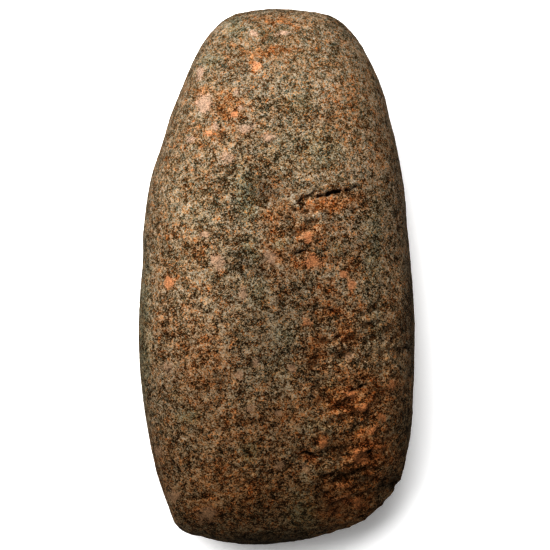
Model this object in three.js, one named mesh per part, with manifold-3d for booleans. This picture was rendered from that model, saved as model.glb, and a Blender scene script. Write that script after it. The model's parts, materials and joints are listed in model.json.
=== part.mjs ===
// A polished stone axe head: one pecked, ground and polished piece of weathered granite, lying on a broad face.
// Millimetres. +Y runs along the head from the cutting edge to the butt, +X across it, +Z up out of the upper face.
// The origin is under the middle of the head, on the surface that it lies on.

import * as THREE from 'three';
import { mergeVertices } from 'three/addons/utils/BufferGeometryUtils.js';
import Module from 'manifold-3d';

const wasm = await Module();
wasm.setup();

// Driving dimensions of the whole head.
const headLength = 160;
const headWidth = 82.4;
const headThickness = 50;
const restLength = 40; // the flat patch under the lower face, measured along the head
const swellHeight = 0.45; // how far the hand-ground faces rise and fall from a true curve
const swellPitch = 46; // from one such rise to the next

// The outline seen from above. Each row: the share of the length up from the cutting edge, then the half
// widths to the left and to the right of the centre line as shares of the width.
const outlineRows = [
  [0.006, 0.225, 0.075],
  [0.024, 0.338, 0.230],
  [0.062, 0.389, 0.365],
  [0.120, 0.431, 0.446],
  [0.220, 0.473, 0.489],
  [0.380, 0.500, 0.500],
  [0.540, 0.485, 0.483],
  [0.655, 0.467, 0.457],
  [0.760, 0.409, 0.426],
  [0.870, 0.329, 0.366],
  [0.945, 0.256, 0.294],
  [0.985, 0.165, 0.200],
];
const edgeTipAcross = -0.08; // the lowest point of the slanted cutting edge, as a share of the width
const crownAlong = 0.47; // the thickest place, as a share of the length

// The height of the rim, the widest line round the head. It runs below the middle, because the face that the
// head lies on is the flatter one, and it dips towards the cutting edge.
const rimHeight = { sides: 21, cuttingEdge: 14 };

// How full the section is towards each end and side: `belly` keeps a face flat for longer before it turns
// down, and `rim` rounds the turn itself. A rim of 1 is a keen edge, and 2 or more is a round one.
const sideSection = { belly: 2.7, rim: 2.3 };
const buttSection = { belly: 2.5, rim: 2.0 };
const edgeSection = { belly: 2.1, rim: 1.75 };

// Old flake scars. `along` and `across` place the middle of the ledge as shares of the length and width,
// `turn` is the ledge's slope in degrees, `span` its length, `run` how far the hollow fades out below it,
// `lip` how far the wall stands behind it, and `depth` how deep it bites.
const upperScars = [
  { along: 0.646, across: 0.178, turn: 11, span: 24, run: 19, lip: 1.6, depth: 0.55 },
  { along: 0.660, across: 0.202, turn: 20, span: 10.0, run: 8, lip: 0.7, depth: 0.9 },
  { along: 0.649, across: 0.117, turn: 26, span: 7.0, run: 6, lip: 0.6, depth: 0.7 },
  { along: 0.546, across: 0.095, turn: 14, span: 6.0, run: 6, lip: 0.6, depth: 0.8 },
  { along: 0.292, across: 0.308, turn: 25, span: 6.5, run: 6, lip: 0.7, depth: 0.8 },
  { along: 0.229, across: 0.309, turn: 30, span: 9.0, run: 7, lip: 0.8, depth: 0.8 },
  { along: 0.163, across: 0.138, turn: -5, span: 11.0, run: 6, lip: 0.7, depth: 0.8 },
  { along: 0.109, across: 0.388, turn: 38, span: 11.0, run: 8, lip: 1.2, depth: 1.6 },
];
const lowerScars = [
  { along: 0.300, across: -0.210, turn: -14, span: 13.0, run: 9, lip: 1.3, depth: 1.7 },
  { along: 0.820, across: 0.130, turn: 10, span: 10.0, run: 8, lip: 1.2, depth: 1.2 },
];

// How finely the surfaces are cut into facets.
const facetsAround = 88;
const facetsOverTop = 32;
const facetsRoundScar = 24;
const facetsDownScar = 10;

const placeOnHead = (along, across) => new THREE.Vector3(across * headWidth, (along - 0.5) * headLength, 0);

// The closed outline through the rows above, with one tip at the cutting edge and one at the butt.
function headOutline() {
  const right = outlineRows.map(([along, , halfRight]) => placeOnHead(along, halfRight));
  const left = outlineRows.toReversed().map(([along, halfLeft]) => placeOnHead(along, -halfLeft));
  const points = [placeOnHead(0, edgeTipAcross), ...right, placeOnHead(1, 0), ...left];
  return new THREE.CatmullRomCurve3(points, true, 'centripetal');
}

// The section used towards one point of the rim: that of the side, blended into the butt's or the edge's.
function sectionAt(rimPoint) {
  const lean = rimPoint.y / (headLength / 2);
  const end = lean > 0 ? buttSection : edgeSection;
  const weight = THREE.MathUtils.smoothstep(Math.abs(lean), 0.45, 0.95);
  return {
    belly: THREE.MathUtils.lerp(sideSection.belly, end.belly, weight),
    rim: THREE.MathUtils.lerp(sideSection.rim, end.rim, weight),
  };
}

function rimHeightAt(rimPoint) {
  const dip = THREE.MathUtils.smoothstep(-rimPoint.y / (headLength / 2), 0.3, 1);
  return THREE.MathUtils.lerp(rimHeight.sides, rimHeight.cuttingEdge, dip);
}

// The slight rise and fall that grinding by hand leaves, at a place on a face.
function swellAt(x, y) {
  const turn = (2 * Math.PI) / swellPitch;
  return swellHeight * Math.sin(turn * (x + 0.6 * y)) * Math.cos(turn * (0.8 * y - 0.5 * x));
}

// A point on the upper (side 1) or lower (side -1) face, at a share of the way from the crown to the rim.
function facePoint(crown, rimPoint, share, side) {
  const point = new THREE.Vector3().lerpVectors(crown, rimPoint, share);
  const flatShare = side < 0 ? restLength / headLength : 0;
  const reach = Math.max(0, (share - flatShare) / (1 - flatShare));
  const { belly, rim } = sectionAt(rimPoint);
  const rise = Math.pow(Math.max(0, 1 - Math.pow(reach, belly)), 1 / rim);
  const swellFade = reach * reach * (1 - Math.pow(reach, 6)); // none on the flat patch or at the rim
  const level = rimHeightAt(rimPoint);
  const fullRise = side > 0 ? headThickness - level : level;
  point.z = level + side * (fullRise * rise + swellAt(point.x, point.y) * swellFade * rise);
  return point;
}

// Rings of points from the crown of the upper face, round the rim, to the middle of the lower face.
function headGeometry() {
  const outline = headOutline();
  const crown = placeOnHead(crownAlong, 0);
  const rim = outline.getSpacedPoints(facetsAround).slice(0, facetsAround);
  const positions = [crown.x, crown.y, headThickness];
  for (let ring = 1; ring < facetsOverTop; ring += 1) {
    const angle = (Math.PI * ring) / facetsOverTop;
    const side = 2 * ring <= facetsOverTop ? 1 : -1;
    for (const rimPoint of rim) {
      positions.push(...facePoint(crown, rimPoint, Math.sin(angle), side));
    }
  }
  positions.push(crown.x, crown.y, 0);

  const indices = [];
  const lastPoint = positions.length / 3 - 1;
  const pointAt = (ring, place) => 1 + (ring - 1) * facetsAround + (place % facetsAround);
  for (let place = 0; place < facetsAround; place += 1) {
    indices.push(0, pointAt(1, place), pointAt(1, place + 1));
    for (let ring = 1; ring < facetsOverTop - 1; ring += 1) {
      const [a, b] = [pointAt(ring, place), pointAt(ring, place + 1)];
      const [c, d] = [pointAt(ring + 1, place), pointAt(ring + 1, place + 1)];
      indices.push(a, c, d, a, d, b);
    }
    indices.push(pointAt(facetsOverTop - 1, place + 1), pointAt(facetsOverTop - 1, place), lastPoint);
  }
  const geometry = new THREE.BufferGeometry();
  geometry.setAttribute('position', new THREE.Float32BufferAttribute(positions, 3));
  geometry.setIndex(indices);
  return geometry;
}

// The shape that a scar removes: a ball with a steep wall on one side of the ledge, drawn out on the other
// side into a hollow that runs up to nothing. Its widest ring lies on the face of the stone.
function scarGeometry(scar) {
  const geometry = new THREE.SphereGeometry(1, facetsRoundScar, facetsDownScar);
  const corner = geometry.getAttribute('position');
  for (let i = 0; i < corner.count; i += 1) {
    const [across, along] = [corner.getX(i), corner.getY(i)];
    const inFront = Math.max(0, -along);
    const bite = scar.depth * (1 - inFront) * Math.sqrt(1 - across * across * 0.9);
    corner.setXYZ(i, (across * scar.span) / 2, along * (inFront > 0 ? scar.run : scar.lip), corner.getZ(i) * bite);
  }
  return geometry;
}

// Seats a scar's shape on a face of the head: square to the stone there, with its ledge turned in place.
function seatScar(scar, head, side) {
  const above = placeOnHead(scar.along, scar.across).setZ(side > 0 ? 2 * headThickness : -headThickness);
  const [hit] = new THREE.Raycaster(above, new THREE.Vector3(0, 0, -side)).intersectObject(head);
  const facing = new THREE.Quaternion().setFromUnitVectors(new THREE.Vector3(0, 0, 1), hit.face.normal);
  const turned = new THREE.Matrix4().makeRotationZ(THREE.MathUtils.degToRad(scar.turn));
  const seated = new THREE.Matrix4().compose(hit.point, facing, new THREE.Vector3(1, 1, 1));
  return scarGeometry(scar).applyMatrix4(seated.multiply(turned));
}

function toSolid(geometry) {
  const bare = geometry.clone();
  bare.deleteAttribute('normal');
  bare.deleteAttribute('uv');
  const merged = mergeVertices(bare, 1e-4);
  return new wasm.Manifold(new wasm.Mesh({
    numProp: 3,
    vertProperties: new Float32Array(merged.getAttribute('position').array),
    triVerts: new Uint32Array(merged.getIndex().array),
  }));
}

function toGeometry(solid) {
  const { numProp, vertProperties, triVerts } = solid.getMesh();
  const geometry = new THREE.BufferGeometry();
  geometry.setAttribute('position', new THREE.BufferAttribute(vertProperties, numProp));
  geometry.setIndex(new THREE.BufferAttribute(triVerts, 1));
  geometry.computeVertexNormals();
  return geometry;
}

function axeHead() {
  const ground = new THREE.Mesh(headGeometry());
  const cuts = [
    ...upperScars.map((scar) => seatScar(scar, ground, 1)),
    ...lowerScars.map((scar) => seatScar(scar, ground, -1)),
  ];
  const solid = cuts.reduce((left, cut) => left.subtract(toSolid(cut)), toSolid(ground.geometry));
  const granite = new THREE.MeshStandardMaterial({ color: 0x6e5a44, roughness: 0.62, metalness: 0 });
  const mesh = new THREE.Mesh(toGeometry(solid), granite);
  mesh.name = 'axe_head';
  return mesh;
}

const polishedStoneAxe = new THREE.Group();
polishedStoneAxe.add(axeHead());

export default polishedStoneAxe;
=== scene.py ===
import json
import math

import bpy
import numpy as np
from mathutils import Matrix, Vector, noise

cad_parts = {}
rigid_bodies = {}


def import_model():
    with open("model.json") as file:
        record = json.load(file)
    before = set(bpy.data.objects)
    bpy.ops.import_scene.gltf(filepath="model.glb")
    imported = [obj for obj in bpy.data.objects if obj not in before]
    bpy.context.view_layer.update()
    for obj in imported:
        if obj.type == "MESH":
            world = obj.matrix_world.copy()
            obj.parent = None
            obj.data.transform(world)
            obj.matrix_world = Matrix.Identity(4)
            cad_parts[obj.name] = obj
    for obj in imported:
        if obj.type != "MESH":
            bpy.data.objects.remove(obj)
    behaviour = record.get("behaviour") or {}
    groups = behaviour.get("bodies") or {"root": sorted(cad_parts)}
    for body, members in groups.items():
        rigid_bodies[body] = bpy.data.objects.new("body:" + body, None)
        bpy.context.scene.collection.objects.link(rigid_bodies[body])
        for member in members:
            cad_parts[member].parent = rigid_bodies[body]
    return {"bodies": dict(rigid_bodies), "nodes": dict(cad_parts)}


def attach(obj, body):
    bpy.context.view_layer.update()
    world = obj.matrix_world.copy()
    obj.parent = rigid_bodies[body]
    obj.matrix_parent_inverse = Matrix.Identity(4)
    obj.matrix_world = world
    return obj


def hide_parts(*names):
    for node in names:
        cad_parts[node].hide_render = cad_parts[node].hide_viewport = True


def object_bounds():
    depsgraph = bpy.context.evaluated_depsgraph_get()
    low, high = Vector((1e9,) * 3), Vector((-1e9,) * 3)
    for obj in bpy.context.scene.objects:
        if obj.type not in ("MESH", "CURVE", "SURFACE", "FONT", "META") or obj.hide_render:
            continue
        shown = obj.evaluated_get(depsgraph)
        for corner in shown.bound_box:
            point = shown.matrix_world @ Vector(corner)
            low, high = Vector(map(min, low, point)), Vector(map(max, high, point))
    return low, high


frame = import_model()
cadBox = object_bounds()
bodyName = next(iter(frame["bodies"]))

# All in metres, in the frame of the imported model: +Y to the butt, +X to the right, +Z up.
# Marks on the stone are placed by the pixel at which the photograph, 550 pixels a side, shows them.

perMetre = 1000.0                # pits, hollows and the granite's grains are in millimetres
photo = {
    "side": 550,
    "pixel": 0.0003,             # what one pixel covers on the stone
    "overOrigin": (276.0, 275.5),  # the pixel over the origin of the part
    "rimHeight": 0.021,          # the outline is seen at this height
    "cameraHeight": 2.0,
}


def deselectAll():
    for piece in bpy.context.view_layer.objects:
        piece.select_set(False)


def makeActive(piece):
    deselectAll()
    piece.select_set(True)
    bpy.context.view_layer.objects.active = piece


def runModifier(piece, kind, settings):
    makeActive(piece)
    modifier = piece.modifiers.new(kind.lower(), kind)
    for name, value in settings.items():
        setattr(modifier, name, value)
    bpy.ops.object.modifier_apply(modifier=modifier.name)


# One output of a node. Sums on it add Math nodes.
class Wire:
    def __init__(self, bench, socket):
        self.bench = bench
        self.socket = socket

    def sum(self, operation, first, second):
        return self.bench.add("ShaderNodeMath", {"operation": operation}, {0: first, 1: second})

    def __add__(self, other):
        return self.sum("ADD", self, other)

    def __radd__(self, other):
        return self.sum("ADD", other, self)

    def __sub__(self, other):
        return self.sum("SUBTRACT", self, other)

    def __rsub__(self, other):
        return self.sum("SUBTRACT", other, self)

    def __mul__(self, other):
        return self.sum("MULTIPLY", self, other)

    def __rmul__(self, other):
        return self.sum("MULTIPLY", other, self)


# The nodes of a material or of the world
class Bench:
    def __init__(self, owner):
        owner.use_nodes = True
        self.nodes = owner.node_tree.nodes
        self.links = owner.node_tree.links
        self.nodes.clear()

    def add(self, kind, settings, sockets, output=0):
        node = self.nodes.new(kind)
        for name, value in settings.items():
            if name == "stops":
                self.setStops(node.color_ramp, value)
            else:
                setattr(node, name, value)
        for name, value in sockets.items():
            if isinstance(value, Wire):
                self.links.new(value.socket, node.inputs[name])
            else:
                node.inputs[name].default_value = value
        return None if output is None else Wire(self, node.outputs[output])

    def setStops(self, ramp, stops):
        while len(ramp.elements) < len(stops):
            ramp.elements.new(1.0)
        for element, (place, colour) in zip(ramp.elements, stops):
            element.position = place
            element.color = (*colour, 1)

    def noise(self, where, pitch, detail, output="Fac"):
        sockets = {"Vector": where, "Scale": 1 / pitch, "Detail": detail}
        return self.add("ShaderNodeTexNoise", {}, sockets, output)

    # Three numbers that differ from one grain of the stone to the next
    def grains(self, where, size):
        sockets = {"Vector": where, "Scale": 1 / size}
        colour = self.add("ShaderNodeTexVoronoi", {"feature": "F1"}, sockets, "Color")
        split = self.add("ShaderNodeSeparateColor", {}, {0: colour})
        return [Wire(self, socket) for socket in split.socket.node.outputs]

    def rise(self, value, low, high):
        sockets = {"Value": value, "From Min": low, "From Max": high}
        return self.add("ShaderNodeMapRange", {"interpolation_type": "SMOOTHSTEP"}, sockets)

    def colours(self, value, stops):
        return self.add("ShaderNodeValToRGB", {"stops": stops}, {"Fac": value})

    def grey(self, value):
        return self.add("ShaderNodeCombineColor", {}, {0: value, 1: value, 2: value})

    def blend(self, share, first, second, kind="MIX"):
        first = (*first, 1) if isinstance(first, tuple) else first
        second = (*second, 1) if isinstance(second, tuple) else second
        settings = {"data_type": "RGBA", "blend_type": kind}
        return self.add("ShaderNodeMix", settings, {0: share, 6: first, 7: second}, 2)

    def tint(self, share, colour, by):
        return self.blend(share, colour, by, "MULTIPLY")

    def mark(self, name):
        return self.add("ShaderNodeAttribute", {"attribute_name": name}, {}, "Fac")

    def forCamera(self, others, camera):
        seen = self.add("ShaderNodeLightPath", {}, {}, "Is Camera Ray")
        return self.add("ShaderNodeMixShader", {}, {0: seen, 1: others, 2: camera})


# Camera, light and floor

white = (1, 1, 1, 1)
studio = {
    "sensor": 36.0,
    "nearest": 0.05,             # what the camera takes in
    "farthest": 50,
    "keyPlace": (-0.131, 0.195, 0.324),   # a large softbox over the butt end, to the left
    "keySize": (0.60, 0.50),
    "keyPower": 5.33,
    "fill": 0.52,
    "contrast": 1.4,
    "floorSize": 12.0,
    "floorSeen": 1.16,           # the paper as the camera sees it, burnt out to white where it is lit
    "floorBounce": 0.40,         # and as it throws light back on the stone
}


def setUpCamera():
    camera = bpy.data.cameras.new("camera")
    viewWidth = photo["side"] * photo["pixel"]
    camera.sensor_width = studio["sensor"]
    camera.lens = studio["sensor"] * (photo["cameraHeight"] - photo["rimHeight"]) / viewWidth
    camera.clip_start = studio["nearest"]
    camera.clip_end = studio["farthest"]
    tripod = bpy.data.objects.new("camera", camera)
    bpy.context.scene.collection.objects.link(tripod)
    middle = photo["side"] / 2
    across = (middle - photo["overOrigin"][0]) * photo["pixel"]
    along = (photo["overOrigin"][1] - middle) * photo["pixel"]
    tripod.location = (across, along, photo["cameraHeight"])
    bpy.context.scene.camera = tripod


def setUpKeyLight():
    key = bpy.data.lights.new("key", "AREA")
    key.shape = "RECTANGLE"
    key.size, key.size_y = studio["keySize"]
    key.energy = studio["keyPower"]
    lamp = bpy.data.objects.new("key", key)
    bpy.context.scene.collection.objects.link(lamp)
    lamp.location = studio["keyPlace"]
    lamp.rotation_euler = Vector(studio["keyPlace"]).to_track_quat("Z", "Y").to_euler()


def setUpFill():
    world = bpy.data.worlds.new("studio")
    bpy.context.scene.world = world
    bench = Bench(world)
    fill = bench.add("ShaderNodeBackground", {}, {"Color": white, "Strength": studio["fill"]})
    backdrop = bench.add("ShaderNodeBackground", {}, {"Color": white})
    bench.add("ShaderNodeOutputWorld", {}, {"Surface": bench.forCamera(fill, backdrop)}, None)


def setContrast():
    view = bpy.context.scene.view_settings
    view.view_transform = "Standard"
    view.look = "None"
    view.gamma = 1 / studio["contrast"]


def layFloor():
    deselectAll()
    bpy.ops.mesh.primitive_plane_add(size=studio["floorSize"], location=(0, 0, cadBox[0].z))
    floor = bpy.context.active_object
    floor.name = "studio_floor"
    paper = bpy.data.materials.new("paper")
    bench = Bench(paper)
    tones = [(*[studio[name]] * 3, 1) for name in ("floorBounce", "floorSeen")]
    bounced, seen = [bench.add("ShaderNodeBsdfDiffuse", {}, {"Color": tone}) for tone in tones]
    bench.add("ShaderNodeOutputMaterial", {}, {"Surface": bench.forCamera(bounced, seen)}, None)
    floor.data.materials.append(paper)


# The ground body, and what is measured on it

body = {
    "mergeGap": 0.00001,
    "grid": 0.00076,             # the size of the faces that the relief is worked in
    "evening": 22,               # smoothing passes that take the flat facets out
    "pitEvening": 4,             # passes that leave out pits, to find them
    "hollowEvening": 28,         # and hollows
}


def roughOutBody(node):
    stone = bpy.data.objects.new("ground_axe_head", node.data.copy())
    bpy.context.scene.collection.objects.link(stone)
    makeActive(stone)
    stone.data.materials.clear()
    bpy.ops.object.mode_set(mode="EDIT")
    bpy.ops.mesh.select_all(action="SELECT")
    bpy.ops.mesh.remove_doubles(threshold=body["mergeGap"])
    bpy.ops.object.mode_set(mode="OBJECT")
    runModifier(stone, "REMESH", {"mode": "VOXEL", "voxel_size": body["grid"], "use_smooth_shade": True})
    # A second smoothing shows how far the first one drew the rim in, and is taken back off.
    once = evened(stone, cornersOf(stone), body["evening"])
    setCorners(stone, 2 * once - evened(stone, once, body["evening"]))
    return stone


def cornersOf(stone):
    corners = np.empty(len(stone.data.vertices) * 3)
    stone.data.vertices.foreach_get("co", corners)
    return corners.reshape(-1, 3)


def normalsOf(stone):
    normals = np.empty(len(stone.data.vertices) * 3)
    stone.data.vertices.foreach_get("normal", normals)
    return normals.reshape(-1, 3)


def setCorners(stone, corners):
    stone.data.vertices.foreach_set("co", corners.ravel())
    stone.data.update()


def keepMark(stone, name, values):
    mark = stone.data.attributes.new(name, "FLOAT", "POINT")
    mark.data.foreach_set("value", np.asarray(values, dtype=np.float32))


# The pixel at which the photograph shows each corner
def photoPlace(corners):
    drop = photo["cameraHeight"] - photo["rimHeight"]
    nearer = drop / (photo["cameraHeight"] - corners[:, 2]) / photo["pixel"]
    across = photo["overOrigin"][0] + corners[:, 0] * nearer
    down = photo["overOrigin"][1] - corners[:, 1] * nearer
    return np.stack([across, down], 1)


# Noise on the stone: the size of its lumps, and a shift that keeps each field apart from the others
fields = {
    "wander": (0.0026, 0),
    "shiver": (0.0010, 7),
    "uneven": (0.0017, 13),
    "wear": (0.012, 3),
    "bendAlong": (0.004, 11),
    "bendOff": (0.004, 17),
    "ridge": ((0.0085, 0.0034, 0.0085), 5),
    "lump": (0.0019, 71),
    "swell": (0.011, 23),
    "dimple": (0.0032, 31),
    "grain": (0.0013, 41),
    "smearAcross": (0.0035, 51),
    "smearDown": (0.0035, 57),
}


def noiseOn(corners, pitch, shift):
    points = corners / np.asarray(pitch) + shift
    return np.array([noise.noise(Vector(point)) for point in points])


def fieldOn(corners, name):
    return noiseOn(corners, *fields[name])


def smoothShare(value, low, high):
    share = np.clip((value - low) / (high - low), 0, 1)
    return share * share * (3 - 2 * share)


# Each corner moved halfway to the middle of its neighbours, again and again
def evened(stone, values, passes):
    edges = np.empty(len(stone.data.edges) * 2, dtype=int)
    stone.data.edges.foreach_get("vertices", edges)
    pairs = edges.reshape(-1, 2)
    near, far = np.concatenate([pairs, pairs[:, ::-1]]).T
    size = len(values)
    count = np.bincount(near, minlength=size)[:, None]
    for _ in range(passes):
        sums = [np.bincount(near, column[far], size) for column in values.T]
        values = (values + np.stack(sums, 1) / count) / 2
    return values


# Places measured along and across a mark that is turned, as shares of its half width and half height
def withinMark(places, across, down, halfWidth, halfHeight, turn):
    angle = math.radians(turn)
    x, y = places[:, 0] - across, down - places[:, 1]
    along = (x * math.cos(angle) + y * math.sin(angle)) / halfWidth
    off = (y * math.cos(angle) - x * math.sin(angle)) / halfHeight
    return along, off


# How strongly a list of soft round patches covers each place. A patch is across, down, half width, half
# height, turn and amount.
def patchShare(places, patches):
    cover = np.zeros(len(places))
    for *mark, amount in patches:
        along, off = withinMark(places, *mark)
        cover = np.maximum(cover, amount * np.exp(-(along ** 2 + off ** 2)))
    return cover


# Where the ground face has broken away or stayed pecked
roughPatches = {
    "upper": [
        (355, 450, 62, 90, 0, 1.0), (318, 226, 46, 34, 12, 0.55), (350, 350, 60, 60, 0, 0.7),
        (390, 330, 26, 90, 0, 0.5), (270, 250, 50, 60, 0, 0.25), (230, 470, 90, 60, 0, 0.4),
        (180, 380, 40, 60, 0, 0.3),
    ],
    "lower": [(230, 170, 60, 70, 20, 0.5), (330, 420, 60, 80, 0, 0.6), (200, 430, 50, 50, 0, 0.4)],
}

# Where the rim stands a little proud of the true curve: by pixel as above, and how far, in pixels
proudRim = [
    (406, 474, 22, 22, 0, 1.9), (412, 436, 20, 30, 0, 2.0), (391, 497, 10, 10, 0, 3.6),
    (404, 180, 22, 80, 0, 2.4), (362, 522, 46, 20, 20, 2.8), (260, 545, 100, 18, 0, 4.0),
    (176, 530, 30, 22, 0, 4.4), (412, 300, 18, 60, 0, 2.0), (384, 92, 22, 40, 0, 1.8),
    (226, 14, 26, 12, 0, 1.6), (338, 16, 26, 14, 0, 1.6), (142, 236, 14, 18, 0, 1.4),
]

relief = {
    "plainRough": 0.22,          # how rough the best kept faces are
    "wearSwing": 0.8,            # and how much the roughness varies
    "ridgeTurn": 30,             # the broken zones have ridges that run up to the right
    "ridgeBend": 0.0012,
    "ridgeCrest": 0.35,
    "ridgeSlope": 1.6,
    "ridgeHeight": 0.00170,
    "lumpLift": 0.15,
    "lumpHeight": 0.00085,       # lumps between the ridges, as the crystals stand out
    "knobHeight": 0.00060,       # the largest orange crystals stand out as knobs
    "swellHeight": 0.00030,
    "dimpleOnPlain": 0.35,       # dimples and grain are fainter on the kept faces
    "dimpleDepth": 0.00022,
    "dimpleSlope": 1.2,
    "dimpleGain": 1.6,
    "grainOnPlain": 0.3,
    "grainHeight": 0.00016,
    "restFade": 0.0012,          # the relief fades out over this height above the resting patch
}

# Old flake scars. A line runs along the foot of each small wall, from left to right in photo pixels. Below
# it a hollow of that depth fades out over the run, and the crack is how far the foot of the wall is undercut.
ledges = [
    {
        "line": [(296, 202), (302, 197), (308, 194), (314, 191), (320, 191)],
        "depth": 0.0007, "run": 20, "crack": 0.9,
    },
    {
        "line": [(315, 197), (322, 195), (329, 192), (336, 190.5), (346, 189)],
        "depth": 0.0010, "run": 40, "crack": 1.5,
    },
    {"line": [(341, 190), (348, 188), (354, 186), (359, 184)], "depth": 0.0007, "run": 30, "crack": 1.0},
    {"line": [(350, 210), (360, 207)], "depth": 0.0003, "run": 8, "crack": 0.4},
    {"line": [(290, 257), (296, 252), (302, 250), (310, 250)], "depth": 0.0006, "run": 18, "crack": 1.1},
    {"line": [(310, 255), (318, 253)], "depth": 0.0005, "run": 12, "crack": 0.5},
    {"line": [(312, 309), (325, 307), (338, 310)], "depth": 0.0005, "run": 22, "crack": 0.3},
    {"line": [(393, 348), (402, 346), (412, 347)], "depth": 0.0008, "run": 16, "crack": 0.1},
    {"line": [(346, 393), (356, 388), (370, 382)], "depth": 0.0010, "run": 16, "crack": 1.1},
    {"line": [(348, 430), (360, 423), (374, 412)], "depth": 0.0011, "run": 22, "crack": 0.7},
    {"line": [(297, 454), (306, 452), (316, 456), (326, 457)], "depth": 0.0009, "run": 18, "crack": 0.8},
    {"line": [(312, 432), (322, 430)], "depth": 0.0008, "run": 12, "crack": 0.6},
    {"line": [(365, 451), (372, 450), (379, 448)], "depth": 0.0009, "run": 12, "crack": 1.2},
    {"line": [(366, 491), (376, 488), (386, 485), (395, 479)], "depth": 0.0012, "run": 22, "crack": 0.9},
    {"line": [(330, 505), (341, 499), (354, 494)], "depth": 0.0009, "run": 16, "crack": 0.8},
    {"line": [(322, 392), (330, 386)], "depth": 0.0007, "run": 12, "crack": 0.7},
]
ledgeCut = {
    "wall": 1.3,                 # the width of the wall, in pixels
    "wander": 1.0,               # how far the line strays from side to side, in pixels
    "shiver": 0.9,
    "reach": 5.5,                # how far around a line the mesh is made finer, in pixels
    "finer": 2,                  # cuts in the edges there
    "taper": 0.55,
    "hollowEnd": 0.35,           # how softly a hollow ends to the sides, as a share of its run
    "hollowCurve": 1.6,
    "crackPlace": 0.8,           # where on the wall the crack sits
    "crackWidth": 1.7,
    "crackDepth": 0.0008,
    "crackEnd": 3,               # how softly a crack ends to the sides, in pixels
}


# How far each place is from a line of pixels, how far below it, and how far along it as a share
def alongLine(places, line):
    line = np.array(line, float)
    lengths = np.linalg.norm(np.diff(line, axis=0), axis=1)
    nearest = np.full(len(places), np.inf)
    below, share = np.zeros(len(places)), np.zeros(len(places))
    walked = 0.0
    for start, end, length in zip(line[:-1], line[1:], lengths):
        along = (end - start) / length
        offset = places - start
        reach = np.clip(offset @ along, 0, length)
        distance = np.linalg.norm(offset - reach[:, None] * along, axis=1)
        closer = distance < nearest
        nearest[closer] = distance[closer]
        below[closer] = (offset[:, 1] * along[0] - offset[:, 0] * along[1])[closer]
        share[closer] = (walked + reach[closer]) / lengths.sum()
        walked += length
    return nearest, below, share


def refineLedges(stone):
    corners = cornersOf(stone)
    places = photoPlace(corners)
    near = np.zeros(len(corners), dtype=bool)
    for ledge in ledges:
        near |= alongLine(places, ledge["line"])[0] < ledgeCut["reach"]
    near &= normalsOf(stone)[:, 2] > 0
    makeActive(stone)
    bpy.ops.object.mode_set(mode="EDIT")
    bpy.ops.mesh.select_mode(type="VERT")
    bpy.ops.mesh.select_all(action="DESELECT")
    bpy.ops.object.mode_set(mode="OBJECT")
    stone.data.vertices.foreach_set("select", near)
    bpy.ops.object.mode_set(mode="EDIT")
    bpy.ops.mesh.subdivide(number_cuts=ledgeCut["finer"])
    bpy.ops.object.mode_set(mode="OBJECT")


def carveLedges(stone):
    corners, normals = cornersOf(stone), normalsOf(stone)
    places = photoPlace(corners)
    wander = ledgeCut["wander"] * fieldOn(corners, "wander") + ledgeCut["shiver"] * fieldOn(corners, "shiver")
    uneven = np.clip(0.8 + 1.6 * fieldOn(corners, "uneven"), 0.1, 1.3)
    wall = ledgeCut["wall"]
    bite, crack = np.zeros(len(corners)), np.zeros(len(corners))
    for ledge in ledges:
        nearest, below, share = alongLine(places, ledge["line"])
        tapered = np.sin(np.pi * np.clip(share, 0.02, 0.98)) ** ledgeCut["taper"]
        pastEnd = nearest - np.abs(below)
        beside = 1 - smoothShare(pastEnd, 0, ledge["run"] * ledgeCut["hollowEnd"])
        fall = below + wander
        fade = np.clip(1 - fall / ledge["run"], 0, 1) ** ledgeCut["hollowCurve"]
        hollow = smoothShare(fall, 0, wall) * fade
        bite = np.maximum(bite, ledge["depth"] * tapered * beside * hollow)
        foot = (fall - wall * ledgeCut["crackPlace"]) / ledgeCut["crackWidth"]
        near = 1 - smoothShare(pastEnd, 0, ledgeCut["crackEnd"])
        crack = np.maximum(crack, ledge["crack"] * tapered * near * uneven * np.exp(-foot ** 2))
    up = smoothShare(normals[:, 2], -0.05, 0.25)
    setCorners(stone, corners - normals * ((bite + crack * ledgeCut["crackDepth"]) * up)[:, None])
    keepMark(stone, "crack", crack * up)


def roughShare(corners, normals):
    places = photoPlace(corners)
    up = smoothShare(normals[:, 2], -0.3, 0.3)
    upper, lower = (patchShare(places, roughPatches[side]) for side in ("upper", "lower"))
    cover = up * upper + (1 - up) * lower
    cover = cover * (1 + relief["wearSwing"] * fieldOn(corners, "wear"))
    return np.clip(relief["plainRough"] + (1 - relief["plainRough"]) * cover, 0, 1)


# The places turned so that the ridges run along the first axis, and bent a little
def ridgePlaces(corners):
    angle = math.radians(relief["ridgeTurn"])
    along = corners[:, 0] * math.cos(angle) + corners[:, 1] * math.sin(angle)
    off = corners[:, 1] * math.cos(angle) - corners[:, 0] * math.sin(angle)
    turned = np.stack([along, off, corners[:, 2]], 1)
    bend = np.stack([fieldOn(corners, "bendAlong"), fieldOn(corners, "bendOff")], 1)
    turned[:, :2] += relief["ridgeBend"] * bend
    return turned


# Ridges, lumps and knobs, where the face has broken away
def brokenHeight(corners, normals, rough):
    turned = ridgePlaces(corners)
    ridge = relief["ridgeCrest"] - np.abs(fieldOn(turned, "ridge")) * relief["ridgeSlope"]
    height = relief["ridgeHeight"] * smoothShare(rough, 0.35, 1.0) * ridge
    lump = np.clip(fieldOn(turned, "lump") + relief["lumpLift"], -0.5, 1)
    height += relief["lumpHeight"] * smoothShare(rough, 0.30, 1.0) * lump
    knob = smoothShare(crystalField(photoPlace(corners), crystals["orange"]), -0.3, 0.7)
    upward = smoothShare(normals[:, 2], 0.0, 0.3)
    height += relief["knobHeight"] * knob * smoothShare(rough, 0.30, 0.8) * upward
    return height


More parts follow.
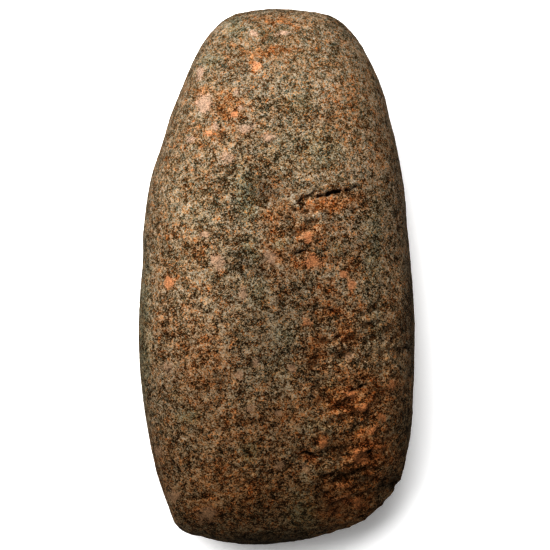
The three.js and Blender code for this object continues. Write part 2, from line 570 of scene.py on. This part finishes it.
def peckSurface(stone):
    corners, normals = cornersOf(stone), normalsOf(stone)
    rough = roughShare(corners, normals)
    height = brokenHeight(corners, normals, rough)
    height += relief["swellHeight"] * fieldOn(corners, "swell")
    dimple = np.clip(fieldOn(corners, "dimple"), 0, 1) ** relief["dimpleSlope"]
    height -= relief["dimpleDepth"] * (relief["dimpleOnPlain"] + rough) * dimple * relief["dimpleGain"]
    height += relief["grainHeight"] * (relief["grainOnPlain"] + rough) * fieldOn(corners, "grain")
    sideways = smoothShare(np.hypot(normals[:, 0], normals[:, 1]), 0.5, 1.0)
    height += photo["pixel"] * sideways * patchShare(photoPlace(corners), proudRim)
    height *= smoothShare(corners[:, 2], 0.0, relief["restFade"])
    setCorners(stone, corners + normals * height[:, None])
    return rough


# Stains on the upper face, as patches; the darker and the lighter patches also hold painted shade and painted
# light
stains = {
    "rust": [
        (275, 21, 34, 5, -6, 0.5), (260, 53, 32, 11, 3, 0.45), (254, 66, 7, 10, 0, 0.5),
        (230, 107, 17, 16, -10, 0.65), (203, 92, 16, 8, 0, 0.35), (222, 133, 36, 12, 0, 0.35),
        (345, 110, 22, 45, 0, 0.25), (380, 150, 10, 40, 0, 0.3), (165, 230, 22, 14, 0, 0.2),
        (200, 246, 13, 14, 0, 0.3), (276, 240, 19, 54, 3, 0.5), (332, 204, 36, 10, 9, 0.75),
        (312, 233, 24, 13, 0, 0.65), (307, 262, 28, 12, 12, 0.7), (350, 266, 14, 12, 0, 0.5),
        (328, 290, 12, 12, 40, 0.55), (332, 312, 32, 14, 0, 0.6), (316, 350, 17, 30, 0, 0.6),
        (345, 335, 12, 18, -25, 0.6), (340, 240, 24, 40, 0, 0.25), (392, 320, 18, 70, 0, 0.25),
        (265, 215, 12, 20, 0, 0.45), (170, 280, 18, 16, 0, 0.25), (165, 325, 14, 16, 0, 0.3),
        (203, 370, 38, 60, 0, 0.45), (245, 430, 70, 40, 0, 0.4), (225, 485, 65, 45, 0, 0.5),
        (250, 495, 9, 32, 0, 0.6), (207, 510, 22, 16, 0, 0.75), (165, 465, 20, 45, 0, 0.35),
        (275, 485, 30, 45, 0, 0.45), (285, 412, 40, 18, 8, 0.5), (352, 402, 46, 26, -8, 0.85),
        (365, 455, 36, 32, 0, 0.95), (345, 500, 36, 26, 20, 1.0), (308, 457, 15, 6, -35, 0.85),
        (318, 440, 8, 8, 0, 0.8), (328, 482, 14, 14, 0, 0.8), (362, 378, 44, 16, -8, 0.6),
        (402, 385, 8, 9, 0, 0.7),
    ],
    "ash": [
        (143, 335, 8, 130, 0, 0.9), (245, 195, 15, 38, 12, 0.85), (250, 248, 13, 15, 0, 0.8),
        (282, 243, 10, 8, 0, 1.0), (337, 246, 7, 10, -30, 0.8), (374, 240, 12, 62, 0, 0.7),
        (378, 320, 12, 46, 0, 0.5), (300, 100, 22, 28, 0, 0.45), (322, 150, 30, 26, 0, 0.65),
        (285, 150, 30, 40, 0, 0.45), (210, 60, 13, 11, 0, 0.7), (235, 25, 14, 17, 0, 0.7),
        (195, 215, 40, 28, 0, 0.35), (258, 290, 20, 20, 0, 0.65), (284, 335, 18, 18, 0, 0.65),
        (238, 332, 11, 11, 0, 0.5), (275, 368, 32, 18, 0, 0.45), (187, 417, 15, 11, 0, 0.95),
        (175, 395, 9, 11, 0, 0.6), (247, 452, 13, 15, 0, 0.85), (190, 445, 30, 16, 0, 0.3),
        (303, 512, 20, 26, 0, 0.75), (320, 473, 10, 8, 0, 0.5), (330, 386, 10, 8, 0, 0.7),
        (372, 370, 26, 8, -10, 0.5), (408, 430, 8, 48, 0, 0.5), (318, 424, 22, 11, 0, 0.45),
        (265, 546, 110, 12, 0, 0.5),
    ],
    # darker patches: dark stone, and painted shade along the right rim and the cutting edge, which turn away
    # from the lamp
    "dim": [
        (410, 330, 8, 110, 0, 0.4), (404, 440, 10, 60, 0, 0.4), (391, 482, 13, 8, 30, 1.2),
        (265, 546, 110, 18, 0, 1.1), (310, 534, 50, 9, 12, 0.5), (182, 522, 18, 22, 0, 0.4),
        (333, 446, 18, 15, 30, 0.7), (299, 449, 12, 6, 0, 0.6), (323, 482, 12, 14, 0, 0.6),
        (334, 507, 14, 11, 0, 0.75), (318, 395, 11, 7, 0, 0.7), (377, 394, 10, 7, 0, 0.65),
        (318, 338, 11, 13, 20, 0.55), (270, 508, 18, 11, 0, 0.5), (216, 378, 18, 10, 0, 0.45),
        (356, 484, 9, 11, -30, 0.6), (262, 274, 16, 9, -30, 0.65), (264, 190, 20, 13, 0, 0.75),
        (250, 421, 18, 7, 0, 0.4), (180, 380, 26, 14, 0, 0.25), (285, 320, 60, 90, 0, 0.36),
        (275, 430, 60, 60, 0, 0.16), (205, 390, 60, 60, 0, 0.16), (290, 250, 22, 7, 25, 0.4),
        (330, 221, 9, 11, 0, 0.45), (299, 288, 9, 14, 0, 0.4), (350, 245, 30, 8, 10, 0.3),
        (240, 262, 16, 14, 0, 0.5), (352, 372, 30, 8, 5, 0.4),
    ],
    # lighter patches: pale stone, and painted light on the faces towards the lamp and on the lit lips above
    # the cracks
    "bright": [
        (240, 40, 40, 22, 0, 0.4), (302, 102, 24, 14, 0, 0.6), (200, 90, 20, 40, 60, 0.45),
        (178, 210, 50, 130, 0, 0.6), (150, 320, 16, 110, 0, 0.5), (362, 90, 34, 80, -10, 0.7),
        (272, 33, 34, 8, 0, 0.6), (266, 136, 14, 14, 0, 0.5), (388, 150, 16, 90, -6, 0.7),
        (393, 290, 11, 60, 0, 0.8), (391, 360, 12, 70, 0, 0.7), (356, 430, 46, 90, 0, 0.70),
        (300, 62, 50, 50, 0, 0.45), (300, 160, 60, 50, 0, 0.3), (250, 510, 125, 44, 0, 0.46),
        (370, 285, 24, 60, 0, 0.35), (336, 182, 13, 6, 20, 1.0), (305, 225, 13, 7, 25, 1.0),
        (399, 339, 6, 7, 0, 0.8), (170, 425, 28, 16, 0, 0.5), (362, 432, 16, 8, 35, 0.6),
        (356, 456, 9, 10, 0, 0.6), (346, 396, 9, 8, 0, 0.6), (308, 468, 14, 8, -45, 0.5),
        (323, 446, 8, 9, 0, 0.5), (348, 356, 10, 8, 0, 0.5), (398, 420, 7, 9, 0, 0.5),
        (396, 320, 7, 14, 0, 0.4), (206, 512, 14, 12, 0, 0.5), (168, 500, 12, 14, 0, 0.5),
        (292, 368, 10, 9, 0, 0.4), (378, 498, 11, 10, 20, 0.5),
    ],
}
stainSmear = 6.0                 # how far the patches' edges stray, in pixels

# The lower face, which isn't shown, has each kind of stain in large soft clouds.
hiddenStain = {"pitch": 0.014, "shift": 60, "level": 0.35, "swing": 0.9, "strength": 0.6}

# The stone is browner and darker towards the cutting edge, partly by weathering and partly as painted shade
# where the faces turn from the lamp over the butt: the pixel rows where that begins and ends, and how much
# further it has gone on the right
weatheringAndShade = {"from": 40, "to": 540, "toTheRight": 0.12}

# The large crystals: across, down, half width, half height and turn
crystals = {
    "pale": [
        (204, 104, 9, 12, -20), (227, 158, 8, 7, 0), (245, 128, 10, 5, 8), (200, 73, 4, 8, -25),
        (237, 93, 4, 4, 0), (241, 108, 4, 4, 0), (216, 127, 4, 5, 0), (269, 138, 8, 6, 0),
        (190, 139, 5, 5, 0), (284, 33, 9, 3, 0), (218, 262, 8, 9, 0), (270, 258, 8, 8, 0),
        (243, 293, 5, 8, 0), (205, 235, 6, 4, 0), (167, 368, 8, 6, 0), (250, 409, 6, 5, 0),
        (239, 374, 5, 5, 0), (256, 362, 5, 5, 0), (292, 368, 5, 5, 0), (278, 413, 5, 4, 0),
        (280, 465, 7, 5, 0), (173, 496, 8, 7, 0), (207, 514, 11, 9, 30), (254, 33, 6, 4, 0),
        (348, 356, 7, 6, 0), (158, 452, 5, 6, 0), (306, 468, 7, 4, -50),
    ],
    "orange": [
        (256, 65, 6, 5, 0), (307, 236, 7, 7, 0), (314, 262, 11, 8, -25), (363, 407, 5, 5, 0),
        (359, 457, 8, 9, 0), (324, 444, 6, 8, 0), (350, 394, 7, 5, 0), (341, 486, 5, 4, 0),
        (357, 502, 6, 5, 0), (234, 115, 5, 4, 0), (352, 285, 6, 6, 0), (392, 385, 6, 7, 0),
        (168, 282, 6, 8, 0), (372, 430, 8, 5, 30), (208, 133, 4, 4, 0), (308, 322, 6, 5, 0),
        (382, 418, 5, 5, 0), (344, 275, 6, 5, 0),
    ],
}
noCrystal = -4.0


# A field that is 1 in the middle of the nearest crystal and 0 at its edge
def crystalField(places, grains):
    field = np.full(len(places), noCrystal)
    for grain in grains:
        along, off = withinMark(places, *grain)
        field = np.maximum(field, 1 - np.sqrt(along ** 2 + off ** 2))
    return field


def markSurface(stone, rough):
    corners, normals = cornersOf(stone), normalsOf(stone)
    places = photoPlace(corners)
    smear = np.stack([fieldOn(corners, "smearAcross"), fieldOn(corners, "smearDown")], 1)
    wavy = places + stainSmear * smear
    up = smoothShare(normals[:, 2], -0.25, 0.15)
    for name, patches in stains.items():
        cloud = noiseOn(corners, hiddenStain["pitch"], hiddenStain["shift"] + len(patches))
        below = np.clip(hiddenStain["level"] + hiddenStain["swing"] * cloud, 0, 1)
        keepMark(stone, name, up * patchShare(wavy, patches) + (1 - up) * hiddenStain["strength"] * below)
    for name, grains in crystals.items():
        keepMark(stone, name + "Crystal", np.where(up > 0.5, crystalField(places, grains), noCrystal))
    # browner and darker towards the cutting edge and the right: partly weathering, partly painted shade
    share = (places[:, 1] - weatheringAndShade["from"]) / (weatheringAndShade["to"] - weatheringAndShade["from"])
    width = cadBox[1].x - cadBox[0].x
    sideways = (places[:, 0] - photo["overOrigin"][0]) * photo["pixel"] / width * 2
    keepMark(stone, "weathered", np.clip(share + weatheringAndShade["toTheRight"] * sideways, 0, 1))
    soft = evened(stone, corners, body["pitEvening"])
    broad = evened(stone, soft, body["hollowEvening"])
    keepMark(stone, "pit", ((soft - corners) * normals).sum(1) * perMetre)
    keepMark(stone, "hollow", ((broad - soft) * normals).sum(1) * perMetre)
    keepMark(stone, "rough", rough)


# The granite. Sizes are in millimetres, colours are linear.
granite = {
    "warpPitch": 0.9,
    "warp": 0.28,
    "grains": {"coarse": 1.70, "big": 0.80, "small": 0.33},
    "noises": {                  # the size of the lumps, and how many finer ones they carry
        "clump": (2.8, 3.0),
        "slow": (13.0, 2.0),
        "dust": (0.21, 1.0),
        "patchy": (2.2, 3.0),
        "flicker": (0.27, 1.0),
    },
    "leaningNoises": {"crag": (2.1, 3.0), "blotch": (3.4, 3.0)},
    "cragTurn": -30.0,           # crags and blotches run up to the right as the stone broke
    "cragStretch": (0.45, 1.0, 0.7),
    "keptCrag": 0.06,            # how high the crags stand, in millimetres, on kept and on broken faces
    "brokenCrag": 1.75,
    "reliefNoise": (0.40, 2.0),
    "grainRelief": 0.16,
    "reliefDistance": 0.001,
    "minerals": [
        (0.00, (0.0080, 0.0036, 0.0008)),
        (0.25, (0.0190, 0.0086, 0.0020)),
        (0.38, (0.0490, 0.0280, 0.0105)),
        (0.50, (0.1120, 0.0785, 0.0445)),
        (0.62, (0.1660, 0.1290, 0.0860)),
        (0.78, (0.2060, 0.1700, 0.1240)),
        (1.00, (0.2800, 0.2420, 0.1900)),
    ],
    "toneBase": 0.03,
    # crests of the crags painted lighter and troughs darker: painted light and shade
    "cragShadeAndLight": 0.30,
    "evenTone": 0.42,            # the tone that contrast turns about
    "contrast": {"base": 0.66, "weathered": 0.95, "bend": 0.35, "bright": 0.50, "rough": 0.10},
    # painted light: the tone is lifted a little towards the butt
    "buttLift": 0.02,
    "tanTint": (1.11, 0.95, 0.74),
    "slateTint": (0.55, 0.95, 1.30),
    "emberTint": (1.28, 0.80, 0.40),
    "rustTint": (1.23, 0.78, 0.45),
    "deepRustTint": (1.04, 0.89, 0.88),
    "ashTint": (0.86, 0.98, 0.98),
    # a paler butt and a browner, darker cutting edge: partly the stone's own colour, partly painted light and
    # painted shade
    "buttPaleAndLitTint": (1.285, 1.375, 1.565),
    "edgeBrownAndShadedTint": (0.800, 0.728, 0.592),
    # dirt and painted shade in pits, hollows and the troughs of the crags
    "dirtAndShade": (0.34, 0.24, 0.14),
    # painted shadow in the cracks at the foot of the ledges
    "crackShadow": (0.16, 0.11, 0.08),
    "crystals": {
        "pale": {"colour": (0.262, 0.175, 0.116), "range": (-0.15, 0.65), "share": 0.80},
        "orange": {"colour": (0.340, 0.165, 0.080), "range": (-0.1, 0.6), "share": 0.72},
    },
    "brighter": 0.40,
    "dimmer": 0.68,
    "specular": 0.045,
    "sheen": (1.0, 0.74, 0.44),
}

# Shares that are a weighted sum of fields, and the range of that sum over which each takes hold
mixes = {
    "tan": {"of": {"bigHue": 0.4, "smallHue": 0.5, "clump": 0.5, "flicker": 1.2}, "range": (0.34, 0.84)},
    "slate": {
        "of": {
            "smallSpare": 0.8, "bigSpare": 0.25, "flicker": -0.8,
            "patchy": -0.4, "ash": 0.12, "rust": -0.24,
        },
        "range": (0.58, 0.84),
    },
    "ember": {
        "of": {"smallHue": 0.7, "coarseHue": 0.3, "flicker": 0.8, "patchy": 0.7, "rust": 0.15},
        "range": (0.68, 1.0),
    },
    "deepRust": {"of": {"rust": 1.0, "blotch": 1.2, "patchy": 0.5}, "range": (0.55, 1.15)},
    "ashen": {"of": {"ash": 1.0, "patchy": 1.1}, "range": (0.15, 0.9)},
}
toneShares = {"coarse": 0.15, "big": 0.27, "small": 0.52, "dust": 0.9, "clump": 0.66, "slow": 0.30}
speckleShares = {"dust": 0.9, "small": 0.42, "patchy": 0.6}
# how pits, hollows and dust draw dirt and painted shade
dirtAndShadeShares = {"pit": 6.0, "hollow": 2.2, "dust": 0.3, "bright": -0.22}


def weighted(field, shares):
    return sum(field[name] * share for name, share in shares.items())


def mixShare(bench, field, name):
    return bench.rise(weighted(field, mixes[name]["of"]), *mixes[name]["range"])


# Everything that the colours are mixed from: what was kept on the mesh, grains and noises
def stoneFields(bench):
    marks = ("rust", "ash", "dim", "bright", "pit", "hollow", "rough", "weathered", "crack")
    field = {name: bench.mark(name) for name in marks}
    place = bench.add("ShaderNodeTexCoord", {}, {}, "Object")
    scale = {"operation": "SCALE"}
    place = bench.add("ShaderNodeVectorMath", scale, {"Vector": place, "Scale": perMetre})
    drift = bench.noise(place, granite["warpPitch"], 2.0, "Color")
    drift = bench.add("ShaderNodeVectorMath", {"operation": "SUBTRACT"}, {0: drift, 1: (0.5, 0.5, 0.5)})
    drift = bench.add("ShaderNodeVectorMath", scale, {"Vector": drift, "Scale": granite["warp"]})
    wavy = bench.add("ShaderNodeVectorMath", {"operation": "ADD"}, {0: place, 1: drift})
    for name, size in granite["grains"].items():
        field[name], field[name + "Hue"], field[name + "Spare"] = bench.grains(wavy, size)
    turn = (0, 0, math.radians(granite["cragTurn"]))
    sockets = {"Vector": place, "Rotation": turn, "Scale": granite["cragStretch"]}
    leaning = bench.add("ShaderNodeMapping", {}, sockets)
    for where, noises in ((place, granite["noises"]), (leaning, granite["leaningNoises"])):
        for name, (pitch, detail) in noises.items():
            field[name] = bench.noise(where, pitch, detail) - 0.5
    field["place"] = place
    return field


def grainTone(field):
    rough, bright, weathered = field["rough"], field["bright"], field["weathered"]
    # the crags' crests are painted lighter and their troughs darker: painted light and shade on the relief
    tone = weighted(field, toneShares) + granite["toneBase"] + field["crag"] * (rough * granite["cragShadeAndLight"])
    by = granite["contrast"]
    contrast = by["base"] + weathered * (by["weathered"] - weathered * by["bend"])
    contrast = contrast - bright * (1.0 - weathered) * by["bright"] + rough * by["rough"]
    even = granite["evenTone"]
    return (tone - even) * contrast + even + (1.0 - weathered) * granite["buttLift"]


# Tan and cream feldspar, slate-coloured mica, and a few grains gone orange
def tintGrains(bench, field, tone, colour):
    colour = bench.tint(mixShare(bench, field, "tan"), colour, granite["tanTint"])
    slate = mixShare(bench, field, "slate") * (1 - bench.rise(tone, 0.42, 0.66))
    colour = bench.tint(slate, colour, granite["slateTint"])
    ember = mixShare(bench, field, "ember") * (0.78 - field["rust"] * 0.50)
    return bench.tint(ember, colour, granite["emberTint"])


def rustOver(bench, field, tone):
    rust = field["rust"]
    stained = rust * (field["blotch"] * 1.7 + 1.05) + field["patchy"] * (1.0 - rust * 0.4)
    stained = stained + (field["bigHue"] - 0.5) * 0.26 + (field["smallHue"] - 0.5) * 0.16
    return bench.rise(stained, -0.10, 0.95) * (1.0 - bench.rise(tone, 0.52, 0.85) * 0.35)


def setCrystals(bench, field, colour):
    speckle = bench.grey(0.62 + weighted(field, speckleShares))
    ragged = field["patchy"] * 1.5 + (field["small"] - 0.5) * 0.35
    for name, crystal in granite["crystals"].items():
        speckled = bench.tint(1.0, crystal["colour"], speckle)
        share = bench.rise(bench.mark(name + "Crystal") + ragged, *crystal["range"]) * crystal["share"]
        colour = bench.blend(share, colour, speckled)
    return colour


# Where the stone is paler or darker as a whole, partly as painted light and painted shade, and browner and
# darker towards the cutting edge, partly as painted shade, with a paler butt, partly as painted light
def weatherStone(bench, field, colour):
    level = bench.grey(field["bright"] * granite["brighter"] - field["dim"] * granite["dimmer"] + 1.0)
    colour = bench.tint(1.0, colour, level)
    weather = bench.blend(field["weathered"], granite["buttPaleAndLitTint"], granite["edgeBrownAndShadedTint"])
    return bench.tint(1.0, colour, weather)


# Dirt and painted shade: darker brown in pits, hollows and the troughs of the crags, where shade falls
def dirtAndShadeOver(bench, field):
    low = weighted(field, dirtAndShadeShares) - field["crag"] * field["rough"] * 1.6
    return bench.rise(low, 0.08, 0.90) * (0.92 - field["bright"] * 0.50)


def surfaceBump(bench, field):
    rough = field["rough"]
    cragHeight = field["crag"] * (rough * rough * granite["brokenCrag"] + granite["keptCrag"])
    height = bench.noise(field["place"], *granite["reliefNoise"]) * granite["grainRelief"] + cragHeight
    sockets = {"Height": height, "Distance": granite["reliefDistance"]}
    return bench.add("ShaderNodeBump", {}, sockets, "Normal")


def mixGranite():
    material = bpy.data.materials.new("granite")
    bench = Bench(material)
    field = stoneFields(bench)
    tone = grainTone(field)
    colour = tintGrains(bench, field, tone, bench.colours(tone, granite["minerals"]))
    rustShare = rustOver(bench, field, tone)
    colour = bench.tint(rustShare, colour, granite["rustTint"])
    colour = bench.tint(mixShare(bench, field, "deepRust"), colour, granite["deepRustTint"])
    colour = bench.tint(mixShare(bench, field, "ashen"), colour, granite["ashTint"])
    colour = weatherStone(bench, field, setCrystals(bench, field, colour))
    dirtAndShadeShare = dirtAndShadeOver(bench, field)
    colour = bench.tint(dirtAndShadeShare, colour, granite["dirtAndShade"])
    # painted shadow: the cracks at the foot of the ledges are made near-black
    colour = bench.tint(bench.rise(field["crack"], 0.25, 0.95), colour, granite["crackShadow"])
    dullness = field["rough"] * 0.20 + rustShare * 0.06 + dirtAndShadeShare * 0.10 - field["bigSpare"] * 0.12
    sockets = {
        "Base Color": colour,
        "Roughness": 0.72 + dullness,
        "Normal": surfaceBump(bench, field),
        "Specular IOR Level": granite["specular"],
        "Specular Tint": (*granite["sheen"], 1),
    }
    surface = bench.add("ShaderNodeBsdfPrincipled", {}, sockets)
    bench.add("ShaderNodeOutputMaterial", {}, {"Surface": surface}, None)
    return material


def buildStone():
    stone = roughOutBody(frame["nodes"]["axe_head"])
    print("body roughed out:", len(stone.data.polygons), "faces")
    refineLedges(stone)
    carveLedges(stone)
    rough = peckSurface(stone)
    print("ledges carved and surface pecked")
    markSurface(stone, rough)
    stone.data.materials.append(mixGranite())
    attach(stone, bodyName)
    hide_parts("axe_head")
    print("granite mixed")


setUpCamera()
setUpKeyLight()
setUpFill()
setContrast()
layFloor()
buildStone()
